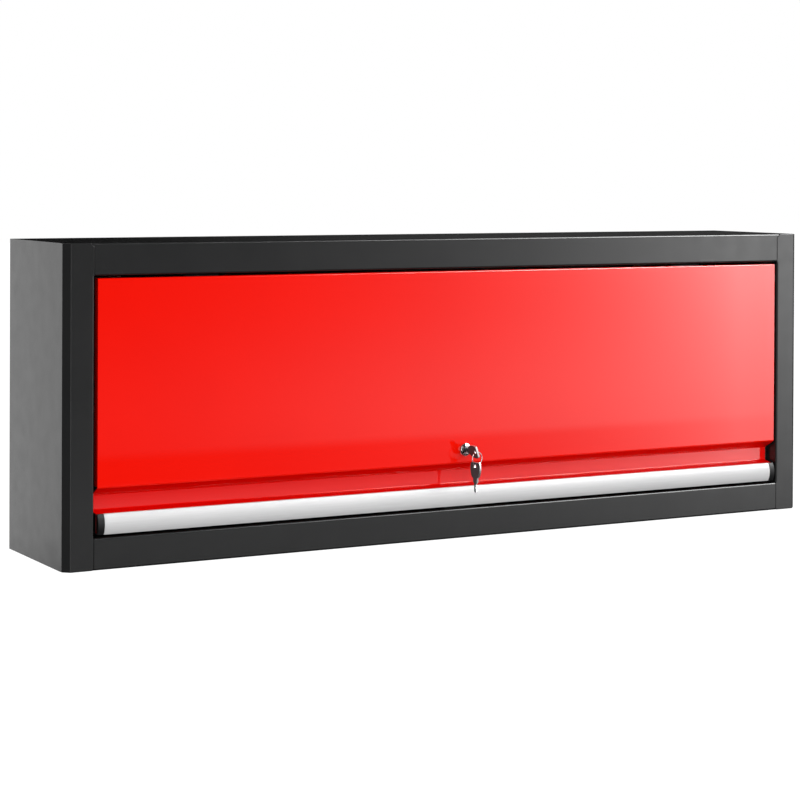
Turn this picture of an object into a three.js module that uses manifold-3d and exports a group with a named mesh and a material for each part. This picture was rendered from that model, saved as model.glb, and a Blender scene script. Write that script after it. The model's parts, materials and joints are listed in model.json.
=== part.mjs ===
import * as THREE from 'three';
import { mergeVertices } from 'three/addons/utils/BufferGeometryUtils.js';
import Module from 'manifold-3d';

// A steel wall cabinet with one flap door. The door is hinged along its top edge, swings out and up, and is
// carried by two gas struts. A cam lock holds it shut. Millimetres, X to the right, Y to the back, Z up.
// The frame's origin is the middle of the back face, where the cabinet meets the wall.

// Overall sizes
const width = 1410;
const depth = 250;
const height = 500;

// Sheet steel and the clearances between pieces
const sheet = 1.2;
const bendRadius = 2;
const fit = 0.3;
const overrun = 4;

// Front frame
const cornerChamfer = 10;
const postWidth = 48;
const topRailHeight = 49.8;
const bottomRailHeight = 49.2;
const railReturn = 38;
const railLip = 12;
const railSeam = 0.5;
const topFlare = 6;
const bottomFlare = 3;
const jambDepth = 30;
const stopLip = 9;

// Back and hanging plates
const panFlange = 16;
const hangInset = 145;
const hangDrop = 92;
const keyholeHead = 14;
const keyholeSlot = 7;
const keyholeRise = 14;
const lowerHole = 7;
const lowerHoleRise = 60;
const hangPlateWidth = 90;
const hangPlateHeight = 64;
const hangPlateWall = 3;
const hangPlateCorner = 6;

// Door skin: the flat face, the bevel, the finger recess and the lip that carries the handle
const doorSideGap = 5.7;
const doorTopGap = 4.2;
const doorFlatRise = 125.6;
const bevelRise = 112;
const recessDepth = 24.5;
const recessFloorRise = 88.8;
const handleLipDepth = 6.5;
const handleLipTop = 85.2;
const handleLipBottom = 54.5;
const bottomFlange = 17;
const topFlange = 15;
const sideFlange = 15;

// Door stiffener, a hat section across the door's back
const stiffenerShare = 0.55;
const stiffenerEndGap = 29;
const stiffenerCrown = 40;
const stiffenerDepth = 14;
const stiffenerFoot = 15;
const stiffenerSlope = 6;

// Handle strip, a hollow convex section, and its end caps
const handleTop = 85.6;
const handleBottom = 53.8;
const handleEdgeSetback = 1.4;
const handleBulge = 4.9;
const handleWall = 1.8;
const handleCapWidth = 10.6;
const handleCapPlug = 12;

// Hinges
const hingeInset = 182;
const hingeWidth = 60;
const hingeAxisDepth = 8;
const hingeAxisDrop = 12.5;
const hingePinSize = 4;
const hingePinHead = 6.4;
const hingePinHeadWidth = 0.8;
const hingeKnuckle = 9;
const hingeArmWidth = 8;
const hingeSideGap = 0.5;
const hingePlate = 2.5;
const hingeWebDepth = 24.5;
const hingeFoot = 13;
const hingeLeafHeight = 38;
const hingeLeafShoulder = 9;
const hingeCorner = 5;
const hingeHole = 4.5;
const hingeHoleShare = 0.6;
const flangeNotch = 66;

// Gas struts
const strutBackInset = 58.46;
const strutClosedAngle = 72;
const strutInset = 20;
const doorPivotDepth = 18;
const strutPlateOffset = 14;
const strutPlateWall = 2.5;
const ballSize = 10;
const ballNeck = 5;
const studCollar = 12;
const studCollarWidth = 2.5;
const studTail = 6;
const studRivet = 9;
const studRivetWidth = 2;
const socketSize = 17;
const socketWidth = 13;
const socketStem = 10;
const socketReach = 14;
const cylinderSize = 18;
const cylinderEnd = 8;
const cylinderMouth = 2;
const rodSize = 8;
const rodShown = 8.8;
const rodEndGap = 1.8;
const strutBracketWidth = 56;
const strutBracketFoot = 34;
const strutBracketTip = 22;
const earTip = 14;
const earHeight = 46;
const earBase = 30;

// Cam lock
const lockAboveBevel = 21.9;
const lockHead = 22;
const lockHeadStand = 5;
const lockHeadRim = 1.6;
const lockBarrel = 18;
const lockBarrelLength = 30;
const plugSize = 12.6;
const plugStand = 2;
const lockHeadLip = 0.8;
const plugTail = 2;
const keywayDepth = 19;
const bossSize = 8;
const bossBore = 5.6;
const bossBoreDepth = 6;
const nutAcross = 24;
const nutWidth = 5;
const camLength = 46;
const camWidth = 16;
const camWall = 2.5;
const camScrewSize = 5;
const camScrewHead = 9;
const camScrewHeadWidth = 3.5;
const camWasherSize = 12;
const keeperWidth = 60;
const keeperTop = 110;
const keeperWall = 2;
const keeperDepth = 29;
const keeperFoot = 16;

// Keys and their ring
const bladeWall = 2;
const bladeWidth = 6;
const bladeLength = 16.5;
const bowWall = 3.2;
const bowLength = 26;
const bowWidth = 22.4;
const neckLength = 8;
const neckWidth = 9.8;
const neckTip = 8.4;
const bowHole = 5.4;
const bowHoleInset = 5.9;
const ringSize = 23.4;
const ringWire = 1.5;
const ringRest = 0.9;
const ringOffset = 3;
const ringTurn = 13;
const keyTwist = 19;

// Rubber door buffers
const bufferSize = 7;
const bufferRise = 100;

// Counts of facets
const bendSteps = 4;
const roundSteps = 28;
const smallSteps = 16;
const ringSteps = 28;
const ringSides = 8;

// Places that several pieces share
const halfWidth = width / 2;
const front = -depth;
const openingHalf = halfWidth - postWidth;
const doorHalf = openingHalf - doorSideGap;
const openingTop = height - topRailHeight;
const hangHalf = halfWidth - hangInset;
const lockRise = doorFlatRise + lockAboveBevel;
const doorTop = openingTop - doorTopGap;
const hingeY = front + hingeAxisDepth;
const hingeZ = doorTop - hingeAxisDrop;
const hingeX = doorHalf - hingeInset;
const strutX = doorHalf - strutInset;
const doorInner = sheet + fit;
const strutReach = depth - hingeAxisDepth - strutBackInset;
const strutTilt = THREE.MathUtils.degToRad(strutClosedAngle);
const strutRadius = Math.hypot(
  doorPivotDepth - hingeAxisDepth,
  (strutReach - (doorPivotDepth - hingeAxisDepth) * Math.cos(strutTilt)) / Math.sin(strutTilt),
);
const strutClosed = 2 * strutRadius * Math.sin(strutTilt / 2);
const cylinderLength = strutClosed - 2 * (socketReach + fit) - rodShown;
const rodLength = cylinderLength - cylinderEnd + rodShown - rodEndGap;
const doorPivotAngle = Math.asin((doorPivotDepth - hingeAxisDepth) / strutRadius);
const bodyPivotAngle = doorPivotAngle + strutTilt;
const doorPivot = pivotAt(doorPivotAngle);
const bodyPivot = pivotAt(bodyPivotAngle);

const steelDark = { color: 0x3b3d40, roughness: 0.38, metalness: 0.2 };
const steelSide = { color: 0x6b6d70, roughness: 0.45, metalness: 0.2 };
const doorRed = { color: 0xe0201a, roughness: 0.16, metalness: 0.0 };
const zinc = { color: 0xb4b7ba, roughness: 0.35, metalness: 0.9 };
const chrome = { color: 0xd8dadc, roughness: 0.08, metalness: 1.0 };
const aluminium = { color: 0xd9dadb, roughness: 0.3, metalness: 0.9 };
const blackPlastic = { color: 0x1b1c1e, roughness: 0.5, metalness: 0.0 };
const blackSteel = { color: 0x232427, roughness: 0.3, metalness: 0.5 };
const keySteel = { color: 0x4a4b4e, roughness: 0.35, metalness: 0.9 };
const rubber = { color: 0x161616, roughness: 0.85, metalness: 0.0 };

const wasm = await Module();
wasm.setup();

// The pivot of a strut, strutRadius from the hinge axis and turned back by an angle from straight down.
function pivotAt(angle) {
  return {
    y: hingeY + strutRadius * Math.sin(angle),
    z: hingeZ - strutRadius * Math.cos(angle),
  };
}

// Solids

function solidOf(geometry) {
  const bare = geometry.clone();
  bare.deleteAttribute('normal');
  bare.deleteAttribute('uv');
  const merged = mergeVertices(bare);
  return new wasm.Manifold(new wasm.Mesh({
    numProp: 3,
    vertProperties: new Float32Array(merged.attributes.position.array),
    triVerts: new Uint32Array(merged.index.array),
  }));
}

function geometryOf(solid) {
  const mesh = solid.getMesh();
  const geometry = new THREE.BufferGeometry();
  geometry.setAttribute('position', new THREE.BufferAttribute(mesh.vertProperties, 3));
  geometry.setIndex(new THREE.BufferAttribute(mesh.triVerts, 1));
  geometry.computeVertexNormals();
  return geometry;
}

function join(first, ...others) {
  return geometryOf(others.reduce((whole, piece) => whole.add(solidOf(piece)), solidOf(first)));
}

function cut(first, ...tools) {
  return geometryOf(tools.reduce((whole, tool) => whole.subtract(solidOf(tool)), solidOf(first)));
}

// Shapes on their axes

function block(x0, x1, y0, y1, z0, z1) {
  const geometry = new THREE.BoxGeometry(x1 - x0, y1 - y0, z1 - z0);
  geometry.translate((x0 + x1) / 2, (y0 + y1) / 2, (z0 + z1) / 2);
  return geometry;
}

function extrude(shape, length) {
  return new THREE.ExtrudeGeometry(shape, { depth: length, bevelEnabled: false, curveSegments: bendSteps * 2 });
}

// A profile in Y and Z, drawn out along X.
function alongX(shape, x0, x1) {
  const geometry = extrude(shape, x1 - x0);
  geometry.applyMatrix4(new THREE.Matrix4().makeBasis(
    new THREE.Vector3(0, 1, 0),
    new THREE.Vector3(0, 0, 1),
    new THREE.Vector3(1, 0, 0),
  ));
  geometry.translate(x0, 0, 0);
  return geometry;
}

// A profile in X and Z, drawn out along Y.
function alongY(shape, y0, y1) {
  const geometry = extrude(shape, y1 - y0);
  geometry.rotateX(Math.PI / 2);
  geometry.translate(0, y1, 0);
  return geometry;
}

// A profile in X and Y, drawn out along Z.
function alongZ(shape, z0, z1) {
  const geometry = extrude(shape, z1 - z0);
  geometry.translate(0, 0, z0);
  return geometry;
}

// A turned piece on the Y axis, from points of radius and place along the axis.
function turned(points, steps = roundSteps) {
  return new THREE.LatheGeometry(points.map(([r, a]) => new THREE.Vector2(r, a)), steps);
}

function rod(diameter, y0, y1, steps = roundSteps) {
  return turned([[0, y0], [diameter / 2, y0], [diameter / 2, y1], [0, y1]], steps);
}

function rodAlongX(diameter, x0, x1, y, z, steps = roundSteps) {
  const geometry = rod(diameter, x0, x1, steps);
  geometry.rotateZ(-Math.PI / 2);
  geometry.translate(0, y, z);
  return geometry;
}

function rodAlongY(diameter, y0, y1, x, z, steps = smallSteps) {
  const geometry = rod(diameter, y0, y1, steps);
  geometry.translate(x, 0, z);
  return geometry;
}

function outline(points) {
  return new THREE.Shape(points.map(([a, b]) => new THREE.Vector2(a, b)));
}

// Folds a strip of sheet along a path of its show face. side is 1 where the metal is on the left of the
// path and -1 where it is on the right. Both faces of a bend turn about one centre.
function folded(path, side, wall = sheet) {
  const points = path.map(([a, b]) => new THREE.Vector2(a, b));
  const show = [];
  const hidden = [];
  const put = (place, normal) => {
    show.push(place.clone());
    hidden.push(place.clone().addScaledVector(normal, wall));
  };
  const leftOf = (d) => new THREE.Vector2(-d.y, d.x);
  const heading = (i) => points[i + 1].clone().sub(points[i]).normalize();
  put(points[0], leftOf(heading(0)).multiplyScalar(side));
  for (let i = 1; i < points.length - 1; i += 1) {
    const before = heading(i - 1);
    const after = heading(i);
    const turn = Math.atan2(before.cross(after), before.dot(after));
    const hand = Math.sign(turn);
    const radius = hand === side ? bendRadius + wall : bendRadius;
    const start = points[i].clone().addScaledVector(before, -radius * Math.tan(Math.abs(turn) / 2));
    const centre = start.clone().addScaledVector(leftOf(before), hand * radius);
    for (let k = 0; k <= bendSteps; k += 1) {
      const spoke = start.clone().sub(centre).rotateAround(new THREE.Vector2(), turn * k / bendSteps);
      put(centre.clone().add(spoke), spoke.clone().normalize().multiplyScalar(-hand * side));
    }
  }
  put(points[points.length - 1], leftOf(heading(points.length - 2)).multiplyScalar(side));
  return new THREE.Shape([...show, ...hidden.reverse()]);
}

// Carcass

// One sheet makes the side, the 45 degree corner, the front post, its jamb and the lip that the door stops
// on. Beside the rails the jamb and the lip are notched away and the post's face runs flat to its edge.
function sideSheet(hand) {
  const path = [
    [hand * halfWidth, 0],
    [hand * halfWidth, front + cornerChamfer],
    [hand * (halfWidth - cornerChamfer), front],
    [hand * openingHalf, front],
    [hand * openingHalf, front + jambDepth],
    [hand * (openingHalf - stopLip), front + jambDepth],
  ];
  const blank = alongZ(folded(path, -hand), 0, height);
  const behindFace = front + sheet + fit / 2;
  const between = (inner, outer, y0, y1, z0, z1) => block(
    Math.min(hand * inner, hand * outer),
    Math.max(hand * inner, hand * outer),
    y0,
    y1,
    z0,
    z1,
  );
  const lip = openingHalf - stopLip - overrun;
  const bend = openingHalf + sheet + bendRadius;
  const back = front + jambDepth + overrun;
  const lower = bottomRailHeight + fit;
  const upper = openingTop - fit;
  const notched = cut(
    blank,
    between(lip, bend, behindFace, back, -overrun, lower),
    between(lip, bend, behindFace, back, upper, height + overrun),
  );
  const faced = join(
    notched,
    between(openingHalf, bend + overrun, front, front + sheet, 0, lower),
    between(openingHalf, bend + overrun, front, front + sheet, upper, height),
  );
  const corner = (edge, way, flare) => alongY(outline([
    [hand * (openingHalf - overrun), edge - way * (flare + overrun)],
    [hand * (openingHalf + flare + overrun), edge + way * overrun],
    [hand * (openingHalf - overrun), edge + way * overrun],
  ]), front - overrun, behindFace);
  return cut(faced, corner(height, 1, topFlare), corner(0, -1, bottomFlare));
}

// One sheet makes the top and, folded down between the posts, the rail with its return and lip. At the fold
// the rail's corners spread over the posts at 45 degrees. The bottom is the same kind of piece turned over.
function railPanel(railHeight, flare) {
  const railHalf = openingHalf - railSeam;
  const inset = sheet + fit;
  const half = halfWidth - inset;
  const railBottom = height - railHeight;
  const rail = alongX(folded([
    [0, height],
    [front, height],
    [front, railBottom],
    [front + railReturn, railBottom],
    [front + railReturn, railBottom + railLip],
  ], 1), -railHalf, railHalf);
  const corner = cornerChamfer + inset * Math.tan(Math.PI / 8);
  const behindBend = front + inset + sheet + bendRadius;
  const wing = (hand) => alongZ(outline([
    [hand * half, 0],
    [hand * half, front + corner],
    [hand * (halfWidth - corner), front + inset],
    [hand * (railHalf + flare + fit), front + inset],
    [hand * (railHalf + flare + fit), behindBend],
    [hand * (railHalf - overrun), behindBend],
    [hand * (railHalf - overrun), 0],
  ]), height - sheet, height);
  const fold = alongX(folded([
    [behindBend, height],
    [front, height],
    [front, height - flare - bendRadius],
  ], 1), -railHalf - flare, railHalf + flare);
  const below = (hand) => alongY(outline([
    [hand * railHalf, height - flare],
    [hand * (railHalf + flare + overrun), height + overrun],
    [hand * (railHalf + flare + overrun), height - flare - overrun],
    [hand * railHalf, height - flare - overrun],
  ]), front - overrun, behindBend + overrun);
  return join(rail, wing(-1), wing(1), cut(fold, below(-1), below(1)));
}

// The hole that a screw head passes and the slot that its shank rises in.
function keyhole(x, z, y0, y1) {
  const shape = new THREE.Shape();
  const headAngle = Math.asin(keyholeSlot / keyholeHead);
  shape.absarc(x, z, keyholeHead / 2, Math.PI / 2 + headAngle, Math.PI / 2 - headAngle + Math.PI * 2, false);
  shape.absarc(x, z + keyholeRise, keyholeSlot / 2, 0, Math.PI, false);
  shape.closePath();
  return alongY(shape, y0, y1);
}

function hangerPlaces() {
  return [-hangHalf, hangHalf];
}

// A shallow pan whose flat back meets the wall, with flanges inside the carcass.
function backPanel() {
  const half = halfWidth - sheet - fit;
  const bottom = sheet + fit;
  const top = height - sheet - fit;
  const pan = block(-half, half, -panFlange, 0, bottom, top);
  const hollow = block(
    -half + sheet,
    half - sheet,
    -panFlange - overrun,
    -sheet,
    bottom + sheet,
    top - sheet,
  );
  const slots = hangerPlaces().map((x) => keyhole(x, height - hangDrop, -sheet - overrun, overrun));
  const holes = hangerPlaces().map((x) => rodAlongY(lowerHole, -sheet - overrun, overrun, x, lowerHoleRise));
  return cut(pan, hollow, ...slots, ...holes);
}

function roundedPlate(x0, x1, z0, z1, corner) {
  const shape = new THREE.Shape();
  shape.absarc(x1 - corner, z1 - corner, corner, 0, Math.PI / 2, false);
  shape.absarc(x0 + corner, z1 - corner, corner, Math.PI / 2, Math.PI, false);
  shape.absarc(x0 + corner, z0 + corner, corner, Math.PI, Math.PI * 1.5, false);
  shape.absarc(x1 - corner, z0 + corner, corner, Math.PI * 1.5, Math.PI * 2, false);
  shape.closePath();
  return shape;
}

function hangingPlate(hand) {
  const x = hand * hangHalf;
  const z = height - hangDrop + keyholeRise / 2;
  const halfW = hangPlateWidth / 2;
  const halfH = hangPlateHeight / 2;
  const y1 = -sheet - fit;
  const y0 = y1 - hangPlateWall;
  const plate = alongY(roundedPlate(x - halfW, x + halfW, z - halfH, z + halfH, hangPlateCorner), y0, y1);
  return cut(plate, keyhole(x, height - hangDrop, y0 - overrun, y1 + overrun));
}

// Door

// One sheet, folded from the top flange to the bottom flange: flat face, bevel, recess and handle lip. The
// flat face has side flanges. The top flange is notched round the hinges, and the lock has its hole.
function doorSkin() {
  const y = (setback) => front + setback;
  const profile = folded([
    [y(topFlange), doorTop],
    [y(0), doorTop],
    [y(0), doorFlatRise],
    [y(recessDepth), bevelRise],
    [y(recessDepth), recessFloorRise],
    [y(handleLipDepth), handleLipTop],
    [y(handleLipDepth), handleLipBottom],
    [y(handleLipDepth + bottomFlange), handleLipBottom],
  ], 1);
  const skin = alongX(profile, -doorHalf, doorHalf);
  const flangeTop = doorTop - sheet - fit;
  const flange = (hand) => {
    const outer = hand * doorHalf;
    const inner = hand * (doorHalf - sheet);
    return block(
      Math.min(outer, inner),
      Math.max(outer, inner),
      y(sheet / 2),
      y(sideFlange),
      doorFlatRise + bendRadius,
      flangeTop,
    );
  };
  const notch = (hand) => block(
    hand * hingeX - flangeNotch / 2,
    hand * hingeX + flangeNotch / 2,
    y(sheet + bendRadius),
    y(topFlange + overrun),
    flangeTop,
    doorTop + overrun,
  );
  const lockHole = rodAlongY(lockBarrel + 2 * fit, y(-overrun), y(sheet + overrun), 0, lockRise, roundSteps);
  return cut(join(skin, flange(-1), flange(1)), notch(-1), notch(1), lockHole);
}

function doorStiffener() {
  const y = (setback) => front + doorInner + setback;
  const half = strutX + strutPlateOffset + strutPlateWall - earBase - stiffenerEndGap;
  const above = lockRise + nutAcross / Math.sqrt(3);
  const below = hingeZ - hingeLeafShoulder - hingeLeafHeight;
  const rise = THREE.MathUtils.lerp(above, below, stiffenerShare);
  const crown = stiffenerCrown / 2;
  const foot = crown + stiffenerSlope + stiffenerFoot;
  const path = [
    [y(0), rise + foot],
    [y(0), rise + crown + stiffenerSlope],
    [y(stiffenerDepth), rise + crown],
    [y(stiffenerDepth), rise - crown],
    [y(0), rise - crown - stiffenerSlope],
    [y(0), rise - foot],
  ];
  return alongX(folded(path, 1), -half, half);
}

// The outline of the handle strip, shrunk evenly by an inset: a flat back and a face on one large arc.
function handleOutline(inset) {
  const chord = handleTop - handleBottom;
  const radius = (chord * chord / 4 + handleBulge * handleBulge) / (2 * handleBulge);
  const centreY = front + handleEdgeSetback - handleBulge + radius;
  const centreZ = (handleTop + handleBottom) / 2;
  const back = front + handleLipDepth - fit - inset;
  const reach = Math.asin((chord / 2 - inset) / (radius - inset));
  const shape = new THREE.Shape();
  shape.moveTo(back, handleTop - inset);
  for (let k = 0; k <= bendSteps * 3; k += 1) {
    const angle = reach - 2 * reach * k / (bendSteps * 3);
    shape.lineTo(
      centreY - (radius - inset) * Math.cos(angle),
      centreZ + (radius - inset) * Math.sin(angle),
    );
  }
  shape.lineTo(back, handleBottom + inset);
  shape.closePath();
  return shape;
}

function handleStrip() {
  const half = doorHalf - handleCapWidth - fit;
  const bar = alongX(handleOutline(0), -half, half);
  return cut(bar, alongX(handleOutline(handleWall), -half - overrun, half + overrun));
}

function handleCap(hand) {
  const outer = doorHalf;
  const shoulder = doorHalf - handleCapWidth;
  const cap = alongX(handleOutline(0), shoulder, outer);
  const plug = alongX(handleOutline(handleWall + fit), shoulder - handleCapPlug, outer - overrun);
  const piece = join(cap, plug);
  return hand > 0 ? piece : mirroredPiece(piece);
}

// A piece made for the right hand, mirrored for the left, with its faces turned back out.
function mirroredPiece(geometry) {
  const mirrored = geometry.clone();
  mirrored.scale(-1, 1, 1);
  const index = mirrored.index.array;
  for (let i = 0; i < index.length; i += 3) {
    const kept = index[i];
    index[i] = index[i + 1];
    index[i + 1] = kept;
  }
  mirrored.computeVertexNormals();
  return mirrored;
}

// Hinges

// A folded plate under the rail: a foot, a web and two arms that end in knuckles.
function hingeBracket() {
  const half = hingeWidth / 2;
  const y = (setback) => front + setback;
  const footTop = openingTop - fit;
  const armBottom = hingeZ - hingePlate / 2;
  const strap = alongX(folded([
    [y(hingeWebDepth + hingeFoot), footTop - hingePlate],
    [y(hingeWebDepth + hingePlate), footTop - hingePlate],
    [y(hingeWebDepth + hingePlate), armBottom],
    [y(hingeAxisDepth), armBottom],
  ], -1, hingePlate), -half, half);
  const knuckle = rodAlongX(hingeKnuckle, -half, half, hingeY, hingeZ, smallSteps);
  const window = block(
    -half + hingeArmWidth,
    half - hingeArmWidth,
    y(-overrun),
    y(hingeWebDepth + hingePlate + fit),
    hingeZ - hingeKnuckle,
    footTop - hingePlate - overrun,
  );
  const bore = rodAlongX(hingePinSize + 2 * fit, -half - overrun, half + overrun, hingeY, hingeZ, smallSteps);
  const screw = (side) => {
    const hole = rod(hingeHole, footTop - hingePlate - overrun, footTop + overrun, smallSteps);
    hole.rotateX(Math.PI / 2);
    hole.translate(side * half * hingeHoleShare, y(hingeWebDepth + hingePlate + hingeFoot / 2), 0);
    return hole;
  };
  return cut(join(strap, knuckle), window, bore, screw(-1), screw(1));
}

// The moving leaf: a plate on the inside of the door with one wide knuckle between the arms.
function hingeLeaf() {
  const y = (setback) => front + doorInner + setback;
  const half = hingeWidth / 2;
  const tongue = half - hingeArmWidth - hingeSideGap;
  const shoulder = hingeZ - hingeLeafShoulder;
  const plate = alongY(
    roundedPlate(-half, half, shoulder - hingeLeafHeight, shoulder, hingeCorner),
    y(0),
    y(hingePlate),
  );
  const neck = block(-tongue, tongue, y(0), y(hingePlate), shoulder - hingeCorner, hingeZ);
  const knuckle = rodAlongX(hingeKnuckle, -tongue, tongue, hingeY, hingeZ, smallSteps);
  const bore = rodAlongX(hingePinSize + 2 * fit, -half, half, hingeY, hingeZ, smallSteps);
  const screws = [-1, 1].map((side) => rodAlongY(
    hingeHole,
    y(-overrun),
    y(hingePlate + overrun),
    side * half / 2,
    shoulder - hingeLeafHeight / 2,
  ));
  return cut(join(plate, neck, knuckle), bore, ...screws);
}

function hingePin() {
  const half = hingeWidth / 2 + fit;
  const head = half + hingePinHeadWidth;
  const r = hingePinSize / 2;
  const headR = hingePinHead / 2;
  const pin = turned([[0, -head], [headR, -head], [headR, -half], [r, -half], [r, half], [headR, half],
    [headR, head], [0, head]], smallSteps);
  pin.rotateZ(-Math.PI / 2);
  pin.translate(0, hingeY, hingeZ);
  return pin;
}

// Gas struts. A strut piece is made for the right side on a local frame: the pivot at the origin, the
// strut along Y and the ball stud along X.

function ballStud() {
  const plate = strutPlateOffset;
  const ball = ballSize / 2;
  const neck = ballNeck / 2;
  const hold = Math.sqrt(ball * ball - neck * neck);
  const points = [];
  const sweep = Math.PI - Math.atan2(neck, hold);
  for (let k = 0; k <= bendSteps * 2; k += 1) {
    const angle = sweep * k / (bendSteps * 2);
    points.push([ball * Math.sin(angle), -ball * Math.cos(angle)]);
  }
  points[0][0] = 0;
  const collar = plate - fit - studCollarWidth;
  const through = plate + strutPlateWall + fit;
  points.push([neck, collar]);
  points.push([studCollar / 2, collar]);
  points.push([studCollar / 2, plate - fit]);
  points.push([studTail / 2, plate - fit]);
  points.push([studTail / 2, through]);
  points.push([studRivet / 2, through]);
  points.push([studRivet / 2, through + studRivetWidth]);
  points.push([0, through + studRivetWidth]);
  const stud = turned(points, smallSteps);
  stud.rotateZ(-Math.PI / 2);
  return stud;
}

function ballSocket() {
  const half = socketWidth / 2;
  const cup = rodAlongX(socketSize, -half, half, 0, 0, roundSteps);
  const stem = rod(socketStem, 0, socketReach, smallSteps);
  const seat = new THREE.SphereGeometry(ballSize / 2 + fit, smallSteps, smallSteps / 2);
  const mouth = rodAlongX(ballNeck + 4 * fit, 0, socketSize, 0, 0, smallSteps);
  return cut(join(cup, stem), join(seat, mouth));
}

// The cylinder: a closed end, a long bore for the rod and a rolled mouth.
function strutCylinder() {
  const start = socketReach + fit;
  const end = start + cylinderLength;
  const outer = cylinderSize / 2;
  const bore = rodSize / 2 + fit;
  const roll = cylinderMouth;
  return turned([[0, start], [outer - roll, start], [outer, start + roll], [outer, end - roll * 2],
    [outer - roll, end - roll], [outer - roll, end], [bore, end], [bore, start + cylinderEnd],
    [0, start + cylinderEnd]], roundSteps);
}

function strutRod() {
  const start = socketReach + fit;
  return rod(rodSize, start, start + rodLength, smallSteps);
}

// The plate that hangs from the top of the carcass and carries the strut's fixed stud.
function strutBracket() {
  const x0 = strutX + strutPlateOffset;
  const x1 = x0 + strutPlateWall;
  const top = height - sheet - fit;
  const tip = strutBracketTip / 2;
  const half = strutBracketWidth / 2;
  const shape = new THREE.Shape();
  shape.moveTo(bodyPivot.y - half, top);
  shape.lineTo(bodyPivot.y - half, top - half);
  shape.absarc(bodyPivot.y, bodyPivot.z, tip, Math.PI, Math.PI * 2, false);
  shape.lineTo(bodyPivot.y + half, top - half);
  shape.lineTo(bodyPivot.y + half, top);
  shape.closePath();
  const plate = alongX(shape, x0, x1);
  const foot = block(x0, x0 + strutBracketFoot, bodyPivot.y - half, bodyPivot.y + half, top - strutPlateWall, top);
  const hole = rodAlongX(studTail + 2 * fit, x0 - overrun, x1 + overrun, bodyPivot.y, bodyPivot.z, smallSteps);
  return cut(join(plate, foot), hole);
}

// The ear on the door: a base on the door's inside and a round-ended plate for the moving stud.
function doorBracket() {
  const x0 = strutX + strutPlateOffset;
  const x1 = x0 + strutPlateWall;
  const y0 = front + doorInner;
  const half = earHeight / 2;
  const tip = earTip / 2;
  const shape = new THREE.Shape();
  shape.moveTo(y0, doorPivot.z - half);
  shape.lineTo(y0 + strutPlateWall, doorPivot.z - half);
  shape.absarc(doorPivot.y, doorPivot.z, tip, -Math.PI / 3, Math.PI / 3, false);
  shape.lineTo(y0 + strutPlateWall, doorPivot.z + half);
  shape.lineTo(y0, doorPivot.z + half);
  shape.closePath();
  const ear = alongX(shape, x0, x1);
  const base = block(x1 - earBase, x1, y0, y0 + strutPlateWall, doorPivot.z - half, doorPivot.z + half);
  const hole = rodAlongX(studTail + 2 * fit, x0 - overrun, x1 + overrun, doorPivot.y, doorPivot.z, smallSteps);
  return cut(join(ear, base), hole);
}

// Lock

// The housing: a domed head outside the door and a barrel through it.
function lockBody() {
  const face = front - fit;
  const head = lockHead / 2;
  const bore = plugSize / 2 + fit;
  const top = face - lockHeadStand;
  const points = [[bore, top + lockHeadLip], [bore + lockHeadLip, top]];
  const crown = head - bore - lockHeadLip;
  for (let k = 1; k <= bendSteps * 2; k += 1) {
    const angle = Math.PI / 2 * k / (bendSteps * 2);
    points.push([
      bore + lockHeadLip + crown * Math.sin(angle),
      top + (lockHeadStand - lockHeadRim) * (1 - Math.cos(angle)),
    ]);
  }
  points.push([head, face]);
  points.push([lockBarrel / 2, face]);
  points.push([lockBarrel / 2, front + lockBarrelLength]);
  points.push([bore, front + lockBarrelLength]);
  points.push([bore, top + lockHeadLip]);
  const body = turned(points);
  body.translate(0, 0, lockRise);
  return body;
}

function lockNut() {
  const y0 = front + doorInner;
  const nut = new THREE.CylinderGeometry(nutAcross / Math.sqrt(3), nutAcross / Math.sqrt(3), nutWidth, 6);
  nut.translate(0, y0 + nutWidth / 2, 0);
  const bored = cut(nut, rod(lockBarrel + 2 * fit, y0 - overrun, y0 + nutWidth + overrun));
  bored.translate(0, 0, lockRise);
  return bored;
}

// The turning plug, with its keyway in front and a square boss for the cam behind.
function lockPlug() {
  const face = plugFace();
  const rear = front + lockBarrelLength + plugTail;
  const bossEnd = rear + fit + camWall;
  const plug = rod(plugSize, face, rear);
  const boss = block(-bossSize / 2, bossSize / 2, rear - overrun, bossEnd, -bossSize / 2, bossSize / 2);
  const keyway = block(
    -bladeWall / 2 - fit,
    bladeWall / 2 + fit,
    face - overrun,
    face + keywayDepth,
    -bladeWidth / 2 - fit,
    bladeWidth / 2 + fit,
  );
  const bore = rod(bossBore, bossEnd - bossBoreDepth, bossEnd + overrun, smallSteps);
  return cut(join(plug, boss), keyway, bore);
}

function plugFace() {
  return front - fit - lockHeadStand - plugStand;
}

// The cam points sideways while the lock is open.
function lockCam() {
  const y0 = front + lockBarrelLength + plugTail + fit;
  const r = camWidth / 2;
  const shape = new THREE.Shape();
  shape.absarc(0, 0, r, Math.PI / 2, Math.PI * 1.5, false);
  shape.lineTo(camLength - r / 2, -r);
  shape.lineTo(camLength, -r / 2);
  shape.lineTo(camLength, r / 2);
  shape.lineTo(camLength - r / 2, r);
  shape.closePath();
  const plate = alongY(shape, y0, y0 + camWall - fit);
  const side = bossSize / 2 + fit;
  return cut(plate, block(-side, side, y0 - overrun, y0 + camWall + overrun, -side, side));
}

function lockCamScrew() {
  const seat = front + lockBarrelLength + plugTail + fit + camWall + fit;
  const shank = seat - bossBoreDepth + fit * 2;
  const hex = new THREE.CylinderGeometry(camScrewHead / Math.sqrt(3), camScrewHead / Math.sqrt(3),
    camScrewHeadWidth, 6);
  hex.translate(0, seat + camScrewHeadWidth / 2, 0);
  const washer = rod(camWasherSize, seat, seat + camScrewHeadWidth / 3, smallSteps);
  return join(hex, washer, rod(camScrewSize, shank, seat + camScrewHeadWidth / 2, smallSteps));
}

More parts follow.
